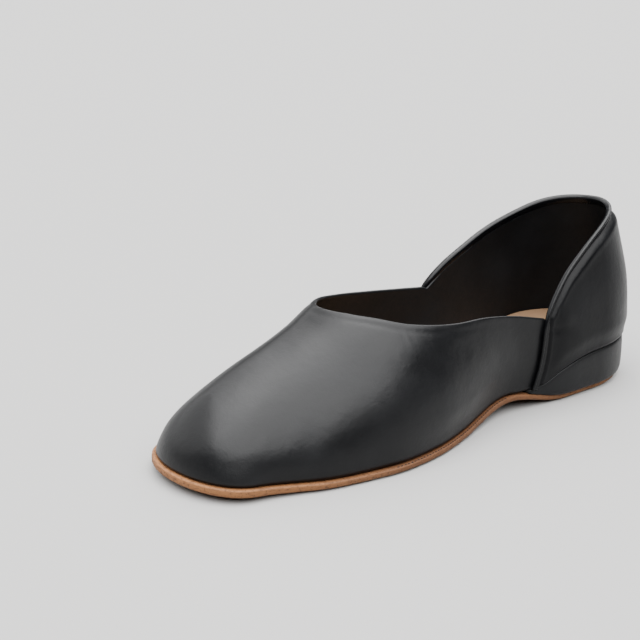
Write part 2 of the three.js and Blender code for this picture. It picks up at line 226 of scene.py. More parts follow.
def along(rows, column, at):
    """One column of a table at a share, smoothly between its rows."""
    x, y = rows["at"], rows[column]
    at = np.clip(at, x[0], x[-1])
    row = np.clip(np.searchsorted(x, at) - 1, 0, len(x) - 2)
    before = np.maximum(np.arange(len(x)) - 1, 0)
    after = np.minimum(np.arange(len(x)) + 1, len(x) - 1)
    slope = (y[after] - y[before]) / (x[after] - x[before])
    span = x[row + 1] - x[row]
    t = (at - x[row]) / span
    rise = y[row + 1] - y[row]
    leave, arrive = slope[row] * span, slope[row + 1] * span
    return y[row] + t * (leave + t * (3 * rise - 2 * leave - arrive + t * (leave + arrive - 2 * rise)))


def y_of(place):
    return place - LENGTH / 2


def share_of(y):
    return np.clip(y / LENGTH + 0.5, 0, 1)


def sole_bottom(y):
    at = share_of(y)
    spring = np.maximum(0, 1 - at / SPRING_END)
    arch = smoothstep(at, ARCH_FROM, ARCH_TOP) ** 2 * (1 - smoothstep(at, ARCH_TOP, ARCH_TO))
    return TOE_SPRING * spring**2 + ARCH_RISE * arch


def sole_top(y):
    return sole_bottom(y) + SOLE_THICKNESS


def shaved_top(y):
    """Top of the sole's visible edge, which is thinner than the sole behind the toe."""
    return sole_top(y) - SOLE_SHAVE * smoothstep(share_of(y), SHAVE_FROM, SHAVE_TO)


def foot_bed(y):
    return sole_top(y) + FIT + HEEL_HEIGHT * along(WEDGE, "lift", share_of(y))


def settled(points):
    """Draws the leather's foot down to the sole's visible edge, where no wedge is between them."""
    wedge = foot_bed(points[..., 1]) - FIT - sole_top(points[..., 1])
    height = points[..., 2] - foot_bed(points[..., 1])
    share = (1 - smoothstep(height, 0, SHAVE_REACH)) * (1 - smoothstep(wedge, 0, LEAST_WEDGE))
    drop = (sole_top(points[..., 1]) - shaved_top(points[..., 1])) * share
    return points - drop[..., None] * np.array([0, 0, 1])


def place_of(station):
    toe = TOE_ROUND * (1 - np.cos(np.minimum(station, TOE_STEPS) / TOE_STEPS * np.pi / 2))
    middle = TOE_ROUND + (LENGTH - TOE_ROUND - HEEL_ROUND) * (station - TOE_STEPS) / MIDDLE_STEPS
    turned = np.clip((station - TOE_STEPS - MIDDLE_STEPS) / HEEL_STEPS, 0, 1)
    heel = LENGTH - HEEL_ROUND * (1 - np.sin(turned * np.pi / 2))
    return np.where(station < TOE_STEPS, toe, np.where(station <= TOE_STEPS + MIDDLE_STEPS, middle, heel))


def station_at(way):
    wrapped = np.mod(way, TURN)
    return np.minimum(wrapped, TURN - wrapped)


def side_at(way):
    return np.where(np.mod(way, TURN) <= BACK, OUTER, INNER)


def by_side(side, outer, inner):
    return np.where(side > 0, outer, inner)


def over_toe(way, outer, inner):
    """by_side, turning softly from one side to the other round the toe."""
    signed = np.mod(way + BACK, TURN) - BACK
    return mix(inner, outer, smoothstep(signed, -TOE_STEPS, TOE_STEPS))


def edge(way):
    """Outline of the outsole."""
    place = place_of(station_at(way))
    side = side_at(way)
    at = place / LENGTH
    toe = np.maximum(0, 1 - place / TOE_ROUND)
    heel = np.maximum(0, 1 - (LENGTH - place) / HEEL_ROUND)
    turned = np.sqrt((1 - toe**2) * (1 - heel**2))
    axis = TOE_AXIS * (1 - smoothstep(at, 0, AXIS_TURN))
    reach = by_side(side, along(WIDTHS, "outer", at), along(WIDTHS, "inner", at)) - side * axis
    return np.stack([axis + side * reach * turned, y_of(place)], -1)


# Small steps along the outline and up the last, for directions on them
WAY_STEP, RISE_STEP = 0.2, 0.02


def outwards(way):
    ahead = edge(way + WAY_STEP) - edge(way - WAY_STEP)
    out = np.stack([ahead[..., 1], -ahead[..., 0]], -1)
    return out / np.linalg.norm(out, axis=-1, keepdims=True)


def inset_edge(way, inset):
    return edge(way) - outwards(way) * np.asarray(inset)[..., None]


def ridge(place):
    at = place / LENGTH
    return np.stack([
        along(RIDGE, "across", at) * BALL_WIDTH,
        y_of(place),
        along(RIDGE, "top", at) * INSTEP_HEIGHT,
    ], -1)


def pole_of(way):
    """Place on the ridge where a way's section ends. The toe's sections share a soft pole."""
    at = place_of(station_at(way)) / LENGTH
    return np.mean([np.clip(at, pole, HEEL_POLE) for pole in TOE_POLES], axis=0) * LENGTH


def foot_inset(way):
    """How far the leather's inner face stands inside the outsole's edge."""
    heel = smoothstep(place_of(station_at(way)) / LENGTH, HEEL_FROM, HEEL_TO)
    return mix(SOLE_LEDGE, FIT + QUARTER_WALL - HEEL_OVERHANG, heel) + WALL


def soft_foot(way, spread):
    """The foot's outline with its toe corners rounded off over a number of stations."""
    at = place_of(station_at(way)) / LENGTH
    reach = spread * (1 - smoothstep(at, TOE_SOFT_FROM, TOE_SOFT_TO)) / 2
    weights = {-2: 1, -1: 4, 0: 6, 1: 4, 2: 1}
    points = sum(weight * inset_edge(way + step * reach, foot_inset(way + step * reach))
                 for step, weight in weights.items())
    return points / sum(weights.values())


def last_point(way, rise):
    """Surface of the last. rise goes from 0 at the sole to 1 at the ridge."""
    way, rise = np.broadcast_arrays(np.asarray(way, float), np.asarray(rise, float))
    at = place_of(station_at(way)) / LENGTH
    foot = inset_edge(way, foot_inset(way))
    low = foot_bed(foot[..., 1])
    top = ridge(pole_of(way))
    climb = (ridge(pole_of(way) + 1) - ridge(pole_of(way) - 1))[..., 2] / 2
    out = outwards(way)
    bulge = along(SECTION, "bulge", at) * BALL_WIDTH
    steep = over_toe(way, along(SECTION, "outerUp", at), along(SECTION, "innerUp", at))
    roof = along(SECTION, "roof", at)
    one = np.stack([foot[..., 0], foot[..., 1], low], -1)
    side, shoulder = soft_foot(way, SIDE_SPREAD), soft_foot(way, SHOULDER_SPREAD)
    two = np.stack([
        side[..., 0] + out[..., 0] * bulge,
        side[..., 1] + out[..., 1] * bulge,
        mix(low, top[..., 2], steep),
    ], -1)
    three = np.stack([
        mix(top[..., 0], shoulder[..., 0], roof),
        mix(top[..., 1], shoulder[..., 1], roof),
        top[..., 2] + climb * roof * (shoulder[..., 1] - top[..., 1]),
    ], -1)
    t = rise[..., None]
    s = 1 - t
    return s**3 * one + 3 * s**2 * t * two + 3 * s * t**2 * three + t**3 * top


def last_normal(way, rise):
    way, rise = np.broadcast_arrays(np.asarray(way, float), np.asarray(rise, float))
    turned = last_point(way + WAY_STEP, rise) - last_point(way - WAY_STEP, rise)
    up = last_point(way, rise + RISE_STEP) - last_point(way, rise - RISE_STEP)
    normal = np.cross(turned, up)
    foot = np.concatenate([outwards(way), np.zeros(way.shape + (1,))], -1)
    climb = ridge(pole_of(way) + 1) - ridge(pole_of(way) - 1)
    top = np.stack([np.zeros(way.shape), -climb[..., 2], climb[..., 1]], -1)
    normal = np.where(rise[..., None] <= 0, foot, np.where(rise[..., None] >= 1, top, normal))
    return normal / np.linalg.norm(normal, axis=-1, keepdims=True)


def skin_point(way, rise, offset):
    return last_point(way, rise) + last_normal(way, rise) * np.asarray(offset)[..., None]


# Top line

THROAT_Y = y_of(THROAT_PLACE)
SEAM_Y = {side: y_of(place) for side, place in SEAM_PLACE.items()}
HEEL_Y = y_of(LENGTH + 2 * HEEL_OVERHANG)


def top_line(y, side):
    name = "outer" if side > 0 else "inner"
    drop = along(VAMP, name, np.clip((y - THROAT_Y) / (SEAM_Y[side] - THROAT_Y), 0, 1))
    rise = along(COLLAR, name, np.clip((y - SEAM_Y[side]) / (HEEL_Y - SEAM_Y[side]), 0, 1))
    vamp = mix(INSTEP_HEIGHT, SEAM_HEIGHT[side], drop)
    collar = mix(SEAM_HEIGHT[side], COLLAR_HEIGHT, rise)
    return np.where(y < SEAM_Y[side], vamp, collar)


def top_line_at(x, y):
    share = smoothstep(x, -HEEL_WIDTH / 3, HEEL_WIDTH / 3)
    return mix(top_line(y, INNER), top_line(y, OUTER), share)


HALVINGS = 26


def halve(measure, shape, low, high):
    """Where a rising measure passes zero, found by halving."""
    low, high = np.full(shape, float(low)), np.full(shape, float(high))
    for _ in range(HALVINGS):
        half = (low + high) / 2
        under = measure(half) < 0
        low, high = np.where(under, half, low), np.where(under, high, half)
    return low


def rise_to_top(way, offset, sink):
    """Rise at which a skin reaches the top line less a sink."""
    def measure(rise):
        point = skin_point(way, rise, offset)
        return point[..., 2] - top_line_at(point[..., 0], point[..., 1]) + sink
    return halve(measure, np.shape(way), 0, 1)


def way_at(y, side):
    station = halve(lambda station: y_of(place_of(station)) - y, np.shape(y), 0, BACK)
    return station if side > 0 else TURN - station


def seam_y(z, side):
    low = foot_bed(SEAM_Y[side])
    share = np.clip((z - low) / (SEAM_HEIGHT[side] - low), 0, 1)
    return SEAM_Y[side] - SEAM_LEAN * (1 - share) ** 3


# Meshes

SCALE = 0.001
# The last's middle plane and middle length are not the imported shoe's
outline = edge(np.linspace(0, TURN, 4 * TURN))
sole_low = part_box("outsole")[0] / SCALE
SHIFT = np.array([sole_low.x - outline[:, 0].min(), sole_low.y - outline[:, 1].min(), 0])


def grid_faces(columns, rows, closed, first=0):
    """Faces of a grid whose points run up each column in turn."""
    faces = []
    for column in range(columns if closed else columns - 1):
        near, far = first + column * rows, first + (column + 1) % columns * rows
        faces += [(near + row, far + row, far + row + 1, near + row + 1) for row in range(rows - 1)]
    return faces


def make_piece(name, points, faces, materials, node, indices=None):
    """A piece of the shoe from points in millimetres. Points in one place become one."""
    mesh = bpy.data.meshes.new(name)
    mesh.from_pydata(((points + SHIFT) * SCALE).tolist(), [], faces)
    for material in materials:
        mesh.materials.append(material)
    if indices is not None:
        mesh.polygons.foreach_set("material_index", np.asarray(indices, np.int32))
    piece = bpy.data.objects.new(name, mesh)
    bpy.context.scene.collection.objects.link(piece)
    weld(mesh)
    mesh.shade_smooth()
    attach(piece, "root")
    if node:
        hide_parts(node)
    return piece


# Metres within which points become one, and under which an edge counts as none
WELD, NO_LENGTH = 0.00001, 0.000001


def weld(mesh):
    work = bmesh.new()
    work.from_mesh(mesh)
    bmesh.ops.remove_doubles(work, verts=work.verts, dist=WELD)
    bmesh.ops.dissolve_degenerate(work, edges=work.edges, dist=NO_LENGTH)
    bmesh.ops.recalc_face_normals(work, faces=work.faces)
    work.to_mesh(mesh)
    work.free()


def ring_piece(name, rings, material, node):
    """A closed piece from level rings of points, lowest first, closed across from side to side."""
    rows, count = len(rings), len(rings[0])
    points = np.transpose(np.array(rings), (1, 0, 2)).reshape(-1, 3)
    faces = grid_faces(count, rows, True)
    half = count // 2
    for index in range(half):
        across, farther = (2 * half - index) % count, 2 * half - index - 1
        for level, flip in ((0, True), (rows - 1, False)):
            face = tuple(column * rows + level for column in (index, index + 1, farther, across))
            faces.append(face[::-1] if flip else face)
    return make_piece(name, points, faces, [material], node)


def distance_to(points, line):
    """Distance from each point to a closed line of close points."""
    found = np.full(len(points), np.inf)
    batch = 40
    for start in range(0, len(line), batch):
        part = line[start:start + batch]
        apart = np.linalg.norm(points[:, None, :] - part[None, :, :], axis=-1)
        found = np.minimum(found, apart.min(axis=1))
    return found


def bump(x, centre, width):
    return np.exp(-(((x - centre) / width) ** 2))


# Materials

def node(tree, kind, inputs=None, **settings):
    made = tree.nodes.new(kind)
    for key, value in settings.items():
        setattr(made, key, value)
    for key, value in (inputs or {}).items():
        if isinstance(value, bpy.types.NodeSocket):
            tree.links.new(value, made.inputs[key])
        else:
            made.inputs[key].default_value = value
    return made


def noise(tree, place, scale, detail=3.0, stretch=None):
    if stretch:
        place = node(tree, "ShaderNodeMapping", {"Vector": place, "Scale": stretch}).outputs["Vector"]
    inputs = {"Vector": place, "Scale": scale, "Detail": detail}
    return node(tree, "ShaderNodeTexNoise", inputs).outputs["Fac"]


def ranged(tree, value, low, high, to_low=0.0, to_high=1.0):
    inputs = {"Value": value, "From Min": low, "From Max": high, "To Min": to_low, "To Max": to_high}
    return node(tree, "ShaderNodeMapRange", inputs, clamp=True).outputs["Result"]


def maths(tree, operation, a, b):
    made = node(tree, "ShaderNodeMath", {0: a, 1: b}, operation=operation)
    return made.outputs["Value"]


def weighted(tree, *terms):
    """Sum of values, each times its weight."""
    parts = [maths(tree, "MULTIPLY", value, weight) for value, weight in terms]
    total = parts[0]
    for part in parts[1:]:
        total = maths(tree, "ADD", total, part)
    return total


def bumped(tree, height, strength, distance, under=None):
    """Relief of a height, its distance in metres, over another relief."""
    inputs = {"Height": height, "Strength": strength, "Distance": distance}
    if under is not None:
        inputs["Normal"] = under
    return node(tree, "ShaderNodeBump", inputs).outputs["Normal"]


def blend_colours(tree, share, a, b):
    made = node(tree, "ShaderNodeMix", data_type="RGBA")
    for socket, value in ((0, share), (6, a), (7, b)):
        if isinstance(value, bpy.types.NodeSocket):
            tree.links.new(value, made.inputs[socket])
        else:
            made.inputs[socket].default_value = value if socket == 0 else (*value, 1)
    return made.outputs[2]


def new_material(name):
    material = bpy.data.materials.new(name)
    material.use_nodes = True
    tree = material.node_tree
    shader = tree.nodes["Principled BSDF"]
    place = node(tree, "ShaderNodeTexCoord").outputs["Object"]
    return material, tree, shader, place


# Black leather: colours, scales of its patterns in one metre, and reliefs with depths in metres
BLACK, FADED_BLACK = (0.0018, 0.0019, 0.0023), (0.0034, 0.0036, 0.0042)
CLOUD_SCALE, PORE_SCALE, FINE_SCALE, HAIR_SCALE = 38.0, 1500.0, 900.0, 260.0
HIDE_SCALE, RIPPLE_SCALE, RIPPLE_SHARE = 85.0, 300.0, 0.22
HIDE_RELIEF, GRAIN_DEPTH = (0.35, 0.0008), 0.00025


def black_leather(name, roughness, grain=0.12, wear=0.0, shine=0.2):
    """Smooth dyed leather: fine pores, soft cloudy shine, a few hairline creases."""
    material, tree, shader, place = new_material(name)
    cloud = noise(tree, place, CLOUD_SCALE)
    pores = node(tree, "ShaderNodeTexVoronoi", {"Vector": place, "Scale": PORE_SCALE}).outputs["Distance"]
    fine = noise(tree, place, FINE_SCALE)
    hairs = noise(tree, place, HAIR_SCALE, 4.0, stretch=(1.0, 0.35, 1.0))
    colour = blend_colours(tree, ranged(tree, cloud, 0.35, 0.7), BLACK, FADED_BLACK)
    tree.links.new(colour, shader.inputs["Base Color"])
    rough = ranged(tree, cloud, 0.3, 0.75, roughness - 0.035, roughness + 0.04 + wear)
    rough = maths(tree, "ADD", rough, ranged(tree, fine, 0.3, 0.7, -0.02, 0.03))
    tree.links.new(rough, shader.inputs["Roughness"])
    shader.inputs["Specular IOR Level"].default_value = shine
    # Broad unevenness of a hand-lasted hide under the grain
    ripples = noise(tree, place, RIPPLE_SCALE)
    hide = weighted(tree, (noise(tree, place, HIDE_SCALE), 1.0), (ripples, RIPPLE_SHARE))
    height = weighted(tree, (pores, 0.6), (fine, 0.7), (hairs, 0.8))
    relief = bumped(tree, height, grain, GRAIN_DEPTH, under=bumped(tree, hide, *HIDE_RELIEF))
    tree.links.new(relief, shader.inputs["Normal"])
    return material


# Sole: where its painted light at the toe and the heel turns into painted shade along the edge's middle,
# from and to in metres along the shoe, share of the lighter colour at both ends
TOE_PAINTED_LIGHT, HEEL_PAINTED_LIGHT = (-0.15, -0.05, 1.0, 0.10), (0.03, 0.11, 0.0, 0.4)
# Scales of its patterns in one metre, relief with its depth in metres
SOLE_CLOUDS, SOLE_LAYERS, SOLE_FLECKS = 60.0, 420.0, 1150.0
SOLE_RELIEF = (0.5, 0.0003)


def sole_leather(name, light, dark, fleck):
    """Cut vegetable leather: layered, flecked edge, with painted light at the toe and the heel and painted
    shade along the middle.
    """
    material, tree, shader, place = new_material(name)
    cloud = noise(tree, place, SOLE_CLOUDS)
    layers = noise(tree, place, SOLE_LAYERS, 5.0, stretch=(0.8, 0.8, 3.0))
    flecks = noise(tree, place, SOLE_FLECKS)
    back = node(tree, "ShaderNodeSeparateXYZ", {"Vector": place}).outputs["Y"]
    # Painted light towards the toe and the heel, painted shade on the edge's middle between them
    ends = maths(tree, "ADD", ranged(tree, back, *TOE_PAINTED_LIGHT), ranged(tree, back, *HEEL_PAINTED_LIGHT))
    shade = maths(tree, "MULTIPLY", ranged(tree, cloud, 0.2, 0.8, 0.55, 1.2), ends)
    # shade picks between the painted shaded colour (dark) and the painted lit colour (light), with a cloudy
    # tone
    colour = blend_colours(tree, shade, dark, light)
    spots = maths(tree, "MULTIPLY", ranged(tree, flecks, 0.57, 0.66), 0.8)
    colour = blend_colours(tree, spots, colour, fleck)
    colour = blend_colours(tree, ranged(tree, layers, 0.50, 0.68, 0.0, 0.75), colour, dark)
    tree.links.new(colour, shader.inputs["Base Color"])
    tree.links.new(ranged(tree, flecks, 0.3, 0.7, 0.62, 0.82), shader.inputs["Roughness"])
    shader.inputs["Specular IOR Level"].default_value = 0.35
    relief = bumped(tree, weighted(tree, (layers, 0.7), (flecks, 1.0)), *SOLE_RELIEF)
    tree.links.new(relief, shader.inputs["Normal"])
    return material


# Sock: scales of its patterns in one metre, relief with its depth in metres
SOCK_CLOUDS, SOCK_PORES = 45.0, 1300.0
SOCK_RELIEF = (0.25, 0.0002)


def insole_leather(name, light, dark):
    """Plain light leather with fine pores."""
    material, tree, shader, place = new_material(name)
    cloud = noise(tree, place, SOCK_CLOUDS, 4.0)
    pores = noise(tree, place, SOCK_PORES, 2.0)
    colour = blend_colours(tree, ranged(tree, cloud, 0.3, 0.75), dark, light)
    tree.links.new(colour, shader.inputs["Base Color"])
    tree.links.new(ranged(tree, pores, 0.3, 0.7, 0.55, 0.7), shader.inputs["Roughness"])
    tree.links.new(bumped(tree, pores, *SOCK_RELIEF), shader.inputs["Normal"])
    return material


UPPER_LEATHER = black_leather("upper_leather", 0.37, wear=0.02)
QUARTER_LEATHER = black_leather("quarter_leather", 0.37, shine=0.11)
LINING_LEATHER = black_leather("lining_leather", 0.55, grain=0.2)
EDGE_LEATHER = black_leather("edge_leather", 0.24, grain=0.06, shine=0.16)
HEEL_LEATHER = black_leather("heel_leather", 0.45)
# light: painted lit tan of the toe and the heel; dark: painted shaded tan of the edge's middle, which is
# also the colour of the darker layers and the tread
OUTSOLE_LEATHER = sole_leather(
    "outsole_leather",
    light=(0.21, 0.088, 0.029),
    dark=(0.075, 0.029, 0.0095),
    fleck=(0.014, 0.006, 0.003),
)
INSOLE_LEATHER = insole_leather("insole_leather", light=(0.25, 0.152, 0.085), dark=(0.20, 0.115, 0.060))
THREAD = black_leather("dark_thread", 0.6, grain=0.3)


# Upper

# Its grid: columns ahead of and behind the throat and rows, and how closely each crowds
COLUMNS_AHEAD, COLUMNS_BEHIND, COLUMN_CROWDING = 70, 130, 1.5
UPPER_ROWS, ROW_CROWDING = 59, 1.35
RIM_STEPS, ARC_STEPS = 8, 80
# Stations that count as the same, and steps of a station when a way is measured in millimetres
SAME_STATION, STATION_STEPS = 1e-9, 20
# Least spread of the toe's evening out in millimetres
LEAST_SPREAD = 0.01
# Where it sinks under the collar's edge, millimetres behind the seam
SINK_FROM, SINK_TO = -1.0, 1.5
# How the leather turns in at its foot: height and depth in millimetres
UPPER_FOOT, QUARTER_FOOT = (1.3, 1.3), (2.2, 3.0)
# Bead, groove and swell of the folded edge: rise, distance from the edge and width in millimetres
FOLD = table(
    "rise centre width",
    (0.14, 1.2, 1.2),
    (-0.11, 3.6, 1.3),
    (0.03, 6.4, 2.2),
)
# How the folded edge fades out: its share, and from and to in millimetres behind the seam
FOLD_FADES = table(
    "share start end",
    (0.75, -90, -40),
    (1.00, -8, -2),
)


def upper_ways():
    """Ways round the shoe, close together where the top line crosses the ridge."""
    def over(station):
        point = skin_point(station, np.ones_like(station), WALL)
        return point[..., 2] - top_line_at(point[..., 0], point[..., 1]) + WALL / 2
    throat = float(halve(over, (1,), TOE_STEPS, BACK / 2)[0])
    ahead = throat * (1 - np.linspace(1, 0, COLUMNS_AHEAD + 1) ** COLUMN_CROWDING)
    behind = throat + (BACK - throat) * np.linspace(0, 1, COLUMNS_BEHIND + 1)[1:] ** COLUMN_CROWDING
    outer = np.concatenate([ahead, behind])
    return np.concatenate([outer, TURN - outer[::-1][1:-1]]), throat


def fold_relief(depth):
    """Folded edge: a soft bead along the top line with a shallow groove under it."""
    return sum(rise * bump(depth, centre, width) for rise, centre, width in zip(*FOLD.values()))


def foot_turn(height, tall, deep):
    """How far a skin turns in where it is pulled under at the foot."""
    share = np.clip(1 - height / tall, 0, 1)
    return deep * (1 - np.sqrt(1 - share**2))


def arc_rises(way, top, shares):
    """Rises that split each column's length by the given shares."""
    steps = np.linspace(0, 1, ARC_STEPS + 1)
    points = last_point(way[:, None], top[:, None] * steps[None, :])
    lengths = np.linalg.norm(np.diff(points, axis=1), axis=-1)
    run = np.concatenate([np.zeros((len(way), 1)), np.cumsum(lengths, axis=1)], axis=1)
    wanted = [np.interp(shares * run[i, -1], run[i], steps) * top[i] for i in range(len(way))]
    return np.array(wanted)


# Height over the foot bed from which the leather can stand fuller
FULL_FROM = 2.0
# Places where the leather stands fuller than the last's sections: x, y from the toe tip, reach each
# way, depth, heights over the foot bed where it rises and falls, in millimetres
FULLNESS = table(
    "x y across back depth rise fall",
    (-24, 40, 22, 30, 2.0, 16, 400),
    (17, 24, 12, 20, 1.3, 16, 400),
    (45, 142, 40, 40, 2.2, 18, 46),
    (-40, 135, 40, 40, 1.8, 18, 46),
)
QUARTER_FULLNESS = table(
    "x y across back depth rise fall",
    (35, 262, 45, 48, 1.8, 12, 58),
    (-35, 250, 45, 48, 1.8, 12, 58),
)


def fullness(rows, skin):
    """How far the leather stands out beyond the last's sections."""
    amount = np.zeros(skin.shape[:-1])
    height = skin[..., 2] - foot_bed(skin[..., 1])
    for x, y, across, back, depth, rise, fall in zip(*rows.values()):
        place = bump(skin[..., 0], x, across) * bump(skin[..., 1], y_of(y), back)
        low = 1 - smoothstep(height, fall / 2, fall)
        amount += depth * place * smoothstep(height, FULL_FROM, rise) * low
    return amount


def even_toe(points, ways, shares):
    """Takes what is left of creases off the toe, evening out each row round the outline."""
    signed = np.mod(ways + BACK, TURN) - BACK
    steps = np.linspace(0, BACK, STATION_STEPS * BACK + 1)
    line = (edge(steps) + edge(TURN - steps) * np.array([-1, 1])) / 2
    run = np.concatenate([[0], np.cumsum(np.linalg.norm(np.diff(line, axis=0), axis=1))])
    place = np.sign(signed) * np.interp(np.abs(signed), steps, run)
    order = np.argsort(place)
    gap = np.empty_like(place)
    gap[order] = np.gradient(place[order])
    at = place_of(station_at(ways)) / LENGTH
    spread = LEAST_SPREAD + TOE_SPREAD * (1 - smoothstep(at, TOE_SOFT_FROM, TOE_SOFT_TO))
    weights = bump(place[None, :], place[:, None], spread[:, None] * math.sqrt(2)) * gap
    weights /= weights.sum(axis=1, keepdims=True)
    once = np.einsum("ij,jkl->ikl", weights, points)
    even = 2 * once - np.einsum("ij,jkl->ikl", weights, once)
    keep = 1 - smoothstep(shares, 0, EVEN_FULLY)
    return mix(even, points, keep[None, :, None])


def rim_outwards(line, normals):
    """Direction out of the leather's edge, in its plane, along a closed line whose ends meet."""
    tangent = np.roll(line[:-1], -1, axis=0) - np.roll(line[:-1], 1, axis=0)
    out = np.cross(normals, np.concatenate([tangent, tangent[:1]]))
    return out / np.linalg.norm(out, axis=1, keepdims=True)


def rounded_rim(outside, inside, out):
    """Points of a round rim from the outer face over to the lining."""
    angles = np.linspace(0, np.pi, RIM_STEPS + 1)
    middle, half = (outside + inside) / 2, (outside - inside) / 2
    return (middle[:, None] + half[:, None] * np.cos(angles)[None, :, None]
            + out[:, None] * (np.sin(angles) * WALL / 2)[None, :, None])


def upper_piece():
    ways, throat = upper_ways()
    stations, sides = station_at(ways), side_at(ways)
    y = y_of(place_of(stations))
    seam = by_side(sides, SEAM_Y[OUTER], SEAM_Y[INNER])
    sink = mix(WALL / 2, BINDING_HEIGHT + FIT, smoothstep(y, seam + SINK_FROM, seam + SINK_TO))
    open_ways = stations >= throat - SAME_STATION
    rims = np.where(open_ways, rise_to_top(ways, WALL, sink), 1.0)
    rims = np.where(np.abs(stations - throat) < SAME_STATION, 1.0, rims)
    close = 1 - np.linspace(1, 0, UPPER_ROWS + 1) ** ROW_CROWDING
    rises = arc_rises(ways, rims, close)
    grid = np.broadcast_to(ways[:, None], rises.shape)
    skin = even_toe(skin_point(grid, rises, WALL), ways, close)
    normal = last_normal(grid, rises)
    full = fullness(FULLNESS, skin)
    skin = skin + normal * full[..., None]

    order = np.flatnonzero(open_ways)
    line = skin[order, -1]
    depth = distance_to(skin.reshape(-1, 3), line).reshape(rises.shape)
    relief = fold_relief(depth)
    for share, start, end in zip(*FOLD_FADES.values()):
        relief *= 1 - share * smoothstep(skin[..., 1], seam[:, None] + start, seam[:, None] + end)
    height = skin[..., 2] - foot_bed(skin[..., 1])
    relief -= foot_turn(height, *UPPER_FOOT)
    relief += creases(CREASES, skin, side_at(grid)) * (rises < CREASES_END)
    outer = skin + normal * relief[..., None]
    inner = even_toe(last_point(grid, rises), ways, close) + normal * full[..., None]

    points = [outer.reshape(-1, 3), inner.reshape(-1, 3)]
    rows = rises.shape[1]
    faces = grid_faces(len(ways), rows, True)
    lining = [tuple(reversed(face)) for face in grid_faces(len(ways), rows, True, outer.size // 3)]
    indices = [0] * len(faces) + [1] * len(lining)
    faces += lining

    rim = rounded_rim(outer[order, -1], inner[order, -1], rim_outwards(line, normal[order, -1]))
    first = sum(len(part) for part in points)
    points.append(rim.reshape(-1, 3))
    rim_faces = grid_faces(len(order), RIM_STEPS + 1, False, first)
    faces += rim_faces
    indices += [0] * len(rim_faces)

    # Underside
    total = outer.size // 3
    for column in range(len(ways)):
        near, far = column * rows, (column + 1) % len(ways) * rows
        faces.append((far, near, near + total, far + total))
        indices.append(1)
    materials = [UPPER_LEATHER, LINING_LEATHER]
    points = settled(np.concatenate(points))
    return make_piece("upper_leather", points, faces, materials, "upper", indices)


# Rise where the vamp's creases end, just short of the ridge where the two sides meet
CREASES_END = 0.999
# Creases of the vamp and the quarter. place: behind the toe tip, height: over the floor,
# length, width and depth in millimetres, turn: degrees from upright. Depth below 0 is a trough
CREASES = table(
    "side place height length width depth turn",
    (1, 178, 30, 26, 8.0, -0.18, -28),
    (1, 188, 33, 24, 8.0, 0.16, -28),
    (1, 148, 46, 14, 5.0, -0.12, 12),
    (1, 113, 60, 7, 1.2, -0.20, 10),
    (1, 117, 60, 6, 1.2, -0.18, 5),
    (-1, 150, 40, 22, 5.0, -0.30, 25),
    (-1, 162, 34, 22, 5.0, 0.25, 25),
    (-1, 172, 28, 20, 5.0, -0.30, 20),
)
# How the quarter rises from under the collar's edge: millimetres under the top line, depth
COLLAR_TURN = table(
    "at depth",
    (1.5, -2.10),
    (2.3, -2.00),
    (3.1, -1.45),
    (4.1, -0.80),
    (5.1, -0.28),
    (6.1, 0.08),
    (7.4, 0.20),
    (10.0, 0.06),
    (14.0, 0.0),
)
# The same along the side seams: millimetres behind the seam, depth
SEAM_TURN = table(
    "at depth",
    (-1.0, -1.2),
    (2.2, -1.2),
    (2.9, -0.30),
    (3.5, 0.16),
    (4.6, 0.05),
    (7.0, 0.0),
    (9.0, 0.0),
)
QUARTER_CREASES = table(
    "side place height length width depth turn",
    (1, 218, 42.5, 18, 3.4, -0.80, 108),
    (1, 222, 48.0, 16, 6.0, 0.50, 106),
    (1, 232, 33, 20, 9.0, 0.20, 100),
    (-1, 189, 50, 16, 3.4, -0.70, 106),
    (-1, 193, 55, 14, 6.0, 0.45, 105),
    (-1, 210, 40, 20, 8.0, 0.20, 100),
)


def creases(rows, skin, sides):
    """Soft troughs and ridges laid on the leather."""
    relief = np.zeros(skin.shape[:-1])
    for index in range(len(rows["side"])):
        row = {name: values[index] for name, values in rows.items()}
        back = skin[..., 1] - y_of(row["place"])
        up = skin[..., 2] - row["height"]
        turn = math.radians(row["turn"])
        lengthways = up * math.cos(turn) + back * math.sin(turn)
        sideways = back * math.cos(turn) - up * math.sin(turn)
        shape = bump(lengthways, 0, row["length"] / 2) * bump(sideways, 0, row["width"] / 2)
        relief += np.where(sides == row["side"], row["depth"] * shape, 0)
    return relief


# Quarter

# Its grid: the share of the way where each stretch ends, and the steps in that stretch
QUARTER_COLUMNS = ((0.035, 15), (0.965, 170), (1.0, 15))
QUARTER_ROWS = ((0.07, 12), (0.80, 31), (1.0, 23))
# How far it reaches past the seam, and how far under the top line it ends
SEAM_LAP, QUARTER_SINK = 0.2, 2.2
# Where its fullness starts and is whole, millimetres behind the seam
QUARTER_FULL_FROM, QUARTER_FULL_TO = 2.0, 14.0


def stretches(rows):
    """Shares from 0 to 1 in stretches of even steps."""
    start, parts = 0.0, [np.zeros(1)]
    for end, steps in rows:
        parts.append(np.linspace(start, end, steps + 1)[1:])
        start = end
    return np.concatenate(parts)


def seam_ways(shares, side):
    heights = mix(foot_bed(SEAM_Y[side]), SEAM_HEIGHT[side], shares)
    return way_at(seam_y(heights, side) - SEAM_LAP, side)


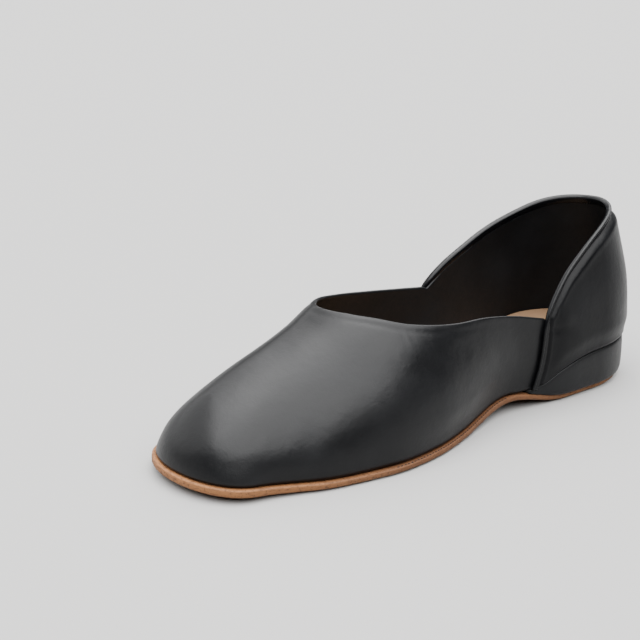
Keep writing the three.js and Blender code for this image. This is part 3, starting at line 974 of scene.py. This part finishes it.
def quarter_piece():
    offset = WALL + FIT + QUARTER_WALL
    across, shares = stretches(QUARTER_COLUMNS)[:, None], stretches(QUARTER_ROWS)
    columns, rows = len(across), len(shares)
    grid = mix(seam_ways(shares, OUTER)[None, :], seam_ways(shares, INNER)[None, :], across)
    tops = rise_to_top(grid[:, -1], offset, QUARTER_SINK)
    rises = tops[:, None] * shares[None, :]
    skin = skin_point(grid, rises, offset)
    normal = last_normal(grid, rises)
    height = skin[..., 2] - foot_bed(skin[..., 1])
    below = top_line_at(skin[..., 0], skin[..., 1]) - skin[..., 2]
    behind = skin[..., 1] - by_side(side_at(grid), seam_y(skin[..., 2], OUTER), seam_y(skin[..., 2], INNER))
    collar, seam = along(COLLAR_TURN, "depth", below), along(SEAM_TURN, "depth", behind)
    turn = np.where((collar < 0) | (seam < 0), np.minimum(collar, seam), np.maximum(collar, seam))
    relief = turn - foot_turn(height, *QUARTER_FOOT) + creases(QUARTER_CREASES, skin, side_at(grid))
    relief += fullness(QUARTER_FULLNESS, skin) * smoothstep(behind, QUARTER_FULL_FROM, QUARTER_FULL_TO)
    outer = skin + normal * relief[..., None]
    thin = np.minimum(0, turn + QUARTER_WALL - LEAST_WALL)
    inner = skin_point(grid, rises, WALL + FIT) + normal * thin[..., None]
    points = settled(np.concatenate([outer.reshape(-1, 3), inner.reshape(-1, 3)]))
    total = outer.size // 3
    faces = grid_faces(columns, rows, False)
    faces += [tuple(reversed(face)) for face in grid_faces(columns, rows, False, total)]
    border = [column * rows for column in range(columns)]
    border += [(columns - 1) * rows + row for row in range(1, rows)]
    border += [column * rows + rows - 1 for column in range(columns - 2, -1, -1)]
    border += list(range(rows - 2, 0, -1))
    for here, there in zip(border, border[1:] + border[:1]):
        faces.append((there, here, here + total, there + total))
    return make_piece("quarter_leather", points, faces, [QUARTER_LEATHER], "quarter")


# Collar binding

# Its path: height of its ends over the foot bed, steps of each seam and of the collar
BINDING_FOOT, SEAM_STEPS, COLLAR_STEPS = 0.2, 30, 160
# Its mesh: steps along it and round it, and how often its line and its normals are evened out
BINDING_STEPS, SECTION_STEPS = 420, 56
LINE_SOFTENING, NORMAL_SOFTENING = 90, 30
# Shares of its length where the first seam's flatter edge ends and the last one's starts
FLAT_END, FLAT_START = (0.08, 0.16), (0.82, 0.90)


def closed_section(rows, sides):
    """A smooth closed section through a short table of points."""
    corners = np.stack([rows["along"] * BINDING_WIDTH / 2, rows["out"] * BINDING_HEIGHT / 2], -1)
    count = len(corners)
    share = np.arange(sides) / sides * count
    at = np.floor(share).astype(int)
    t = (share - at)[:, None]
    a, b, c, d = (corners[(at + step) % count] for step in (-1, 0, 1, 2))
    return 0.5 * (2 * b + (c - a) * t + (2 * a - 5 * b + 4 * c - d) * t**2 + (3 * b - a - 3 * c + d) * t**3)


def binding_path():
    seat = WALL + FIT + BINDING_HEIGHT / 2 * SEAM_FLATNESS
    top = (WALL + FIT + QUARTER_WALL) / 2

    def seam(side):
        foot = float(foot_bed(seam_y(np.array(0.0), side)))
        heights = np.linspace(foot + BINDING_FOOT, SEAM_HEIGHT[side] - BINDING_HEIGHT, SEAM_STEPS)
        way = way_at(seam_y(heights, side), side)
        rise = halve(lambda rise: last_point(way, rise)[..., 2] - heights, way.shape, 0, 1)
        return np.stack([way, rise, np.full(way.shape, seat)], -1)

    first = float(way_at(np.array(SEAM_Y[OUTER] + BINDING_WIDTH), OUTER))
    last = float(way_at(np.array(SEAM_Y[INNER] + BINDING_WIDTH), INNER))
    way = np.linspace(first, last, COLLAR_STEPS)

    def over(rise):
        point = last_point(way, rise)
        line = np.where(side_at(way) > 0, top_line(point[..., 1], OUTER), top_line(point[..., 1], INNER))
        return point[..., 2] - (line - BINDING_HEIGHT / 2)
    collar = np.stack([way, halve(over, way.shape, 0, 1), np.full(way.shape, top)], -1)
    return np.concatenate([seam(OUTER), collar, seam(INNER)[::-1]])


def soften(values, times):
    """Evens out a line's kinks, with its ends kept."""
    for _ in range(times):
        values[1:-1] = values[:-2] * 0.25 + values[1:-1] * 0.5 + values[2:] * 0.25
    return values


def binding_piece():
    path = binding_path()
    centres = skin_point(path[:, 0], path[:, 1], path[:, 2])
    normals = last_normal(path[:, 0], path[:, 1])
    run = np.concatenate([[0], np.cumsum(np.linalg.norm(np.diff(centres, axis=0), axis=1))])
    even = np.linspace(0, run[-1], BINDING_STEPS)
    centres = np.stack([np.interp(even, run, centres[:, axis]) for axis in range(3)], -1)
    normals = np.stack([np.interp(even, run, normals[:, axis]) for axis in range(3)], -1)
    centres, normals = soften(centres, LINE_SOFTENING), soften(normals, NORMAL_SOFTENING)
    ahead = np.gradient(centres, axis=0)
    ahead /= np.linalg.norm(ahead, axis=1, keepdims=True)
    across = np.cross(ahead, normals)
    across /= np.linalg.norm(across, axis=1, keepdims=True)
    out = np.cross(across, ahead)
    section = closed_section(EDGE_SECTION, SECTION_STEPS)
    share = np.linspace(0, 1, len(even))
    flat = np.maximum(1 - smoothstep(share, *FLAT_END), smoothstep(share, *FLAT_START))
    tall = 1 - (1 - SEAM_FLATNESS) * flat
    points = (centres[:, None] + across[:, None] * section[None, :, :1]
              + out[:, None] * section[None, :, 1:] * tall[:, None, None])
    count = len(section)
    faces = [(near + i, near + (i + 1) % count, near + count + (i + 1) % count, near + count + i)
             for near in range(0, (len(even) - 1) * count, count) for i in range(count)]
    faces.append(tuple(range(count)))
    faces.append(tuple(range(len(even) * count - 1, (len(even) - 1) * count - 1, -1)))
    points = settled(points.reshape(-1, 3))
    return make_piece("collar_edge", points, faces, [EDGE_LEATHER], "collar_binding")


# Soles

FINE_STEPS = 420
FINE_WAYS = np.linspace(0, TURN, FINE_STEPS + 1)[:-1]
# Gap that the wedge keeps to the sole and to the leather above
SEAT = 0.05


def level_ring(ways, inset, height):
    flat = inset_edge(ways, np.broadcast_to(inset, ways.shape))
    return np.concatenate([flat, height(flat[:, 1])[:, None]], 1)


def cut_wave(ways):
    """Unevenness of the hand-cut edge in millimetres."""
    return 0.10 * np.sin(ways * 4.3) * np.sin(ways * 1.7 + 1) + 0.05 * np.sin(ways * 13.1)


def outsole_piece():
    rows = table(
        "up inset",
        (0.00, 5.00),
        (0.05, 3.20),
        (0.13, 1.50),
        (0.24, 0.48),
        (0.32, 0.14),
        (0.42, 0.02),
        (0.62, 0.00),
        (0.84, 0.02),
        (0.93, 0.12),
        (0.98, 0.34),
        (1.00, 0.66),
        (1.00, 1.60),
    )
    wave = cut_wave(FINE_WAYS)
    rings = [
        level_ring(FINE_WAYS, inset + wave * math.sin(math.pi * up),
                   lambda y, up=up: mix(sole_bottom(y), shaved_top(y), up))
        for up, inset in zip(rows["up"], rows["inset"])
    ]
    return ring_piece("outsole_leather", rings, OUTSOLE_LEATHER, "outsole")


# Stitches: half length, half width and half height, spacing and distance from the edge in millimetres
STITCH_HALF, STITCH_SPACING, STITCH_INSET = (0.75, 0.36, 0.30), 2.2, 1.0
# Stations between which they run, and steps of that line
STITCH_FROM, STITCH_TO, STITCH_STEPS = 11.6, 19.6, 400
# Distance in millimetres to the point that a stitch is turned to
STITCH_AHEAD = 0.5
# Mesh of a stitch, and the share of its height where it ends flat
STITCH_SIDES, STITCH_RINGS, STITCH_BLUNT = 10, 6, 0.98


def stitch_shape():
    """A small oval with flat ends up and down, as points in columns."""
    turns = np.linspace(0, TAU, STITCH_SIDES, endpoint=False)
    around, up = np.meshgrid(turns, np.linspace(-1, 1, STITCH_RINGS) * STITCH_BLUNT, indexing="ij")
    flat = np.sqrt(1 - up**2)
    return np.stack([np.cos(around) * flat, np.sin(around) * flat, up], -1).reshape(-1, 3)


def stitch_faces(first):
    columns = range(STITCH_SIDES)
    faces = grid_faces(STITCH_SIDES, STITCH_RINGS, True, first)
    faces.append(tuple(first + STITCH_RINGS * column for column in reversed(columns)))
    faces.append(tuple(first + STITCH_RINGS * (column + 1) - 1 for column in columns))
    return faces


def stitch_piece():
    """Short dark stitches along the sole's top edge at the waist."""
    shape = stitch_shape() * STITCH_HALF
    points, faces = [], []
    for side in (OUTER, INNER):
        stations = np.linspace(STITCH_FROM, STITCH_TO, STITCH_STEPS)
        ways = stations if side > 0 else TURN - stations
        line = inset_edge(ways, np.full(ways.shape, STITCH_INSET))
        run = np.concatenate([[0], np.cumsum(np.linalg.norm(np.diff(line, axis=0), axis=1))])
        for at in np.arange(STITCH_SPACING, run[-1], STITCH_SPACING):
            here, there = (np.array([np.interp(place, run, line[:, axis]) for axis in (0, 1)])
                           for place in (at, at + STITCH_AHEAD))
            ahead = (there - here) / np.linalg.norm(there - here)
            beside = np.array([-ahead[1], ahead[0]])
            faces += stitch_faces(len(shape) * len(points))
            points.append(np.concatenate([
                here + shape[:, :1] * ahead + shape[:, 1:2] * beside,
                shaved_top(here[1]) + shape[:, 2:],
            ], 1))
    return make_piece("sole_stitches", np.concatenate(points), faces, [THREAD], None)


def heel_piece():
    rows = table(
        "up inset",
        (0.00, 1.20),
        (0.03, 0.55),
        (0.10, 0.18),
        (0.22, 0.02),
        (0.40, 0.00),
        (0.62, 0.06),
        (0.80, 0.16),
        (0.90, 0.34),
        (0.95, 0.60),
        (0.98, 1.10),
        (1.00, 2.30),
    )
    y = y_of(place_of(station_at(FINE_WAYS)))
    inside = np.flatnonzero(foot_bed(y) - FIT - sole_top(y) > LEAST_WEDGE)
    ways = FINE_WAYS[inside[0]:inside[-1] + 1]
    widen = smoothstep(place_of(station_at(ways)) / LENGTH, HEEL_FROM, HEEL_TO)
    side = mix(SOLE_LEDGE, -WEDGE_OVERHANG, widen)
    rings = [
        level_ring(ways, side + inset,
                   lambda y, up=up: mix(shaved_top(y) + SEAT, foot_bed(y) - SEAT, up))
        for up, inset in zip(rows["up"], rows["inset"])
    ]
    return ring_piece("heel_cover", rings, HEEL_LEATHER, "heel_wedge")


def insole_piece():
    rows = table(
        "up inset",
        (0.00, 0.30),
        (0.60, 0.10),
        (0.90, 0.45),
        (1.00, 1.20),
    )
    rings = [
        level_ring(FINE_WAYS, foot_inset(FINE_WAYS) + FIT + inset,
                   lambda y, up=up: foot_bed(y) + INSOLE_THICKNESS * up)
        for up, inset in zip(rows["up"], rows["inset"])
    ]
    return ring_piece("insole_sock", rings, INSOLE_LEATHER, "insole")


# Studio

# Paper floor, in metres from its middle
FLOOR_REACH, FLOOR_COLOUR, FLOOR_ROUGHNESS = 25.0, (0.275, 0.273, 0.270, 1), 0.9


def floor():
    mesh = bpy.data.meshes.new("floor")
    corners = [(x * FLOOR_REACH, y * FLOOR_REACH, 0) for x, y in ((-1, -1), (1, -1), (1, 1), (-1, 1))]
    mesh.from_pydata(corners, [], [(0, 1, 2, 3)])
    material, _, shader, _ = new_material("floor_paper")
    shader.inputs["Base Color"].default_value = FLOOR_COLOUR
    shader.inputs["Roughness"].default_value = FLOOR_ROUGHNESS
    mesh.materials.append(material)
    made = bpy.data.objects.new("floor", mesh)
    bpy.context.scene.collection.objects.link(made)


# Wide soft lights: azimuth, elevation and width in degrees, strength in watts a square metre
LIGHTS = {
    "main_light": (66.0, 70.0, 84.0, 13.0),
    "far_light": (-64.0, 50.0, 86.0, 4.2),
    "back_light": (-150.0, 54.0, 60.0, 4.0),
}
# Dim room with a pale horizon, so that the floor has no dark end: strengths, and how high the
# horizon ends and the room starts, as the upward part of a direction
HORIZON, SKY = 1.4, 0.003
HORIZON_TOP, SKY_FROM = 0.02, 0.14


def direction(azimuth, elevation):
    """Direction at angles in degrees, azimuth 0 in front of the toe."""
    azimuth, elevation = math.radians(azimuth), math.radians(elevation)
    return Vector((
        math.sin(azimuth) * math.cos(elevation),
        -math.cos(azimuth) * math.cos(elevation),
        math.sin(elevation),
    ))


def soft_light(name, azimuth, elevation, width, strength):
    light = bpy.data.lights.new(name, "SUN")
    light.energy = strength
    light.angle = math.radians(width)
    made = bpy.data.objects.new(name, light)
    made.rotation_euler = (-direction(azimuth, elevation)).to_track_quat("-Z", "Y").to_euler()
    bpy.context.scene.collection.objects.link(made)


def studio():
    for name, settings in LIGHTS.items():
        soft_light(name, *settings)
    world = bpy.data.worlds.new("studio")
    bpy.context.scene.world = world
    world.use_nodes = True
    tree = world.node_tree
    background = tree.nodes["Background"]
    background.inputs["Color"].default_value = (1, 1, 1, 1)
    way = node(tree, "ShaderNodeTexCoord").outputs["Generated"]
    up = node(tree, "ShaderNodeSeparateXYZ", {"Vector": way}).outputs["Z"]
    shade = node(tree, "ShaderNodeMapRange", {
        "Value": up, "From Min": HORIZON_TOP, "From Max": SKY_FROM, "To Min": HORIZON, "To Max": SKY,
    }, interpolation_type="SMOOTHSTEP").outputs["Result"]
    tree.links.new(shade, background.inputs["Strength"])


# Camera at the photograph's angle: azimuth, elevation, roll in degrees, metres from its target
VIEW = {"azimuth": 50.68, "elevation": 19.04, "roll": 0.71, "away": 0.77727}
TARGET = (np.array([-81.41, 3.61, 30.0]) + SHIFT) * SCALE
FOCAL_PIXELS, FRAME_PIXELS, SENSOR = 1385.36, 640.0, 36.0


def camera():
    azimuth, roll = math.radians(VIEW["azimuth"]), math.radians(VIEW["roll"])
    back = direction(VIEW["azimuth"], VIEW["elevation"])
    right = Vector((math.cos(azimuth), math.sin(azimuth), 0))
    up = back.cross(right)
    rolled_right = right * math.cos(roll) + up * math.sin(roll)
    rolled_up = up * math.cos(roll) - right * math.sin(roll)
    data = bpy.data.cameras.new("camera")
    data.sensor_width = SENSOR
    data.lens = SENSOR * FOCAL_PIXELS / FRAME_PIXELS
    made = bpy.data.objects.new("camera", data)
    place = Vector(TARGET) + back * VIEW["away"]
    made.matrix_world = Matrix((
        (rolled_right.x, rolled_up.x, back.x, place.x),
        (rolled_right.y, rolled_up.y, back.y, place.y),
        (rolled_right.z, rolled_up.z, back.z, place.z),
        (0, 0, 0, 1),
    ))
    bpy.context.scene.collection.objects.link(made)
    bpy.context.scene.camera = made


outsole_piece()
stitch_piece()
heel_piece()
insole_piece()
upper_piece()
quarter_piece()
binding_piece()
floor()
studio()
camera()
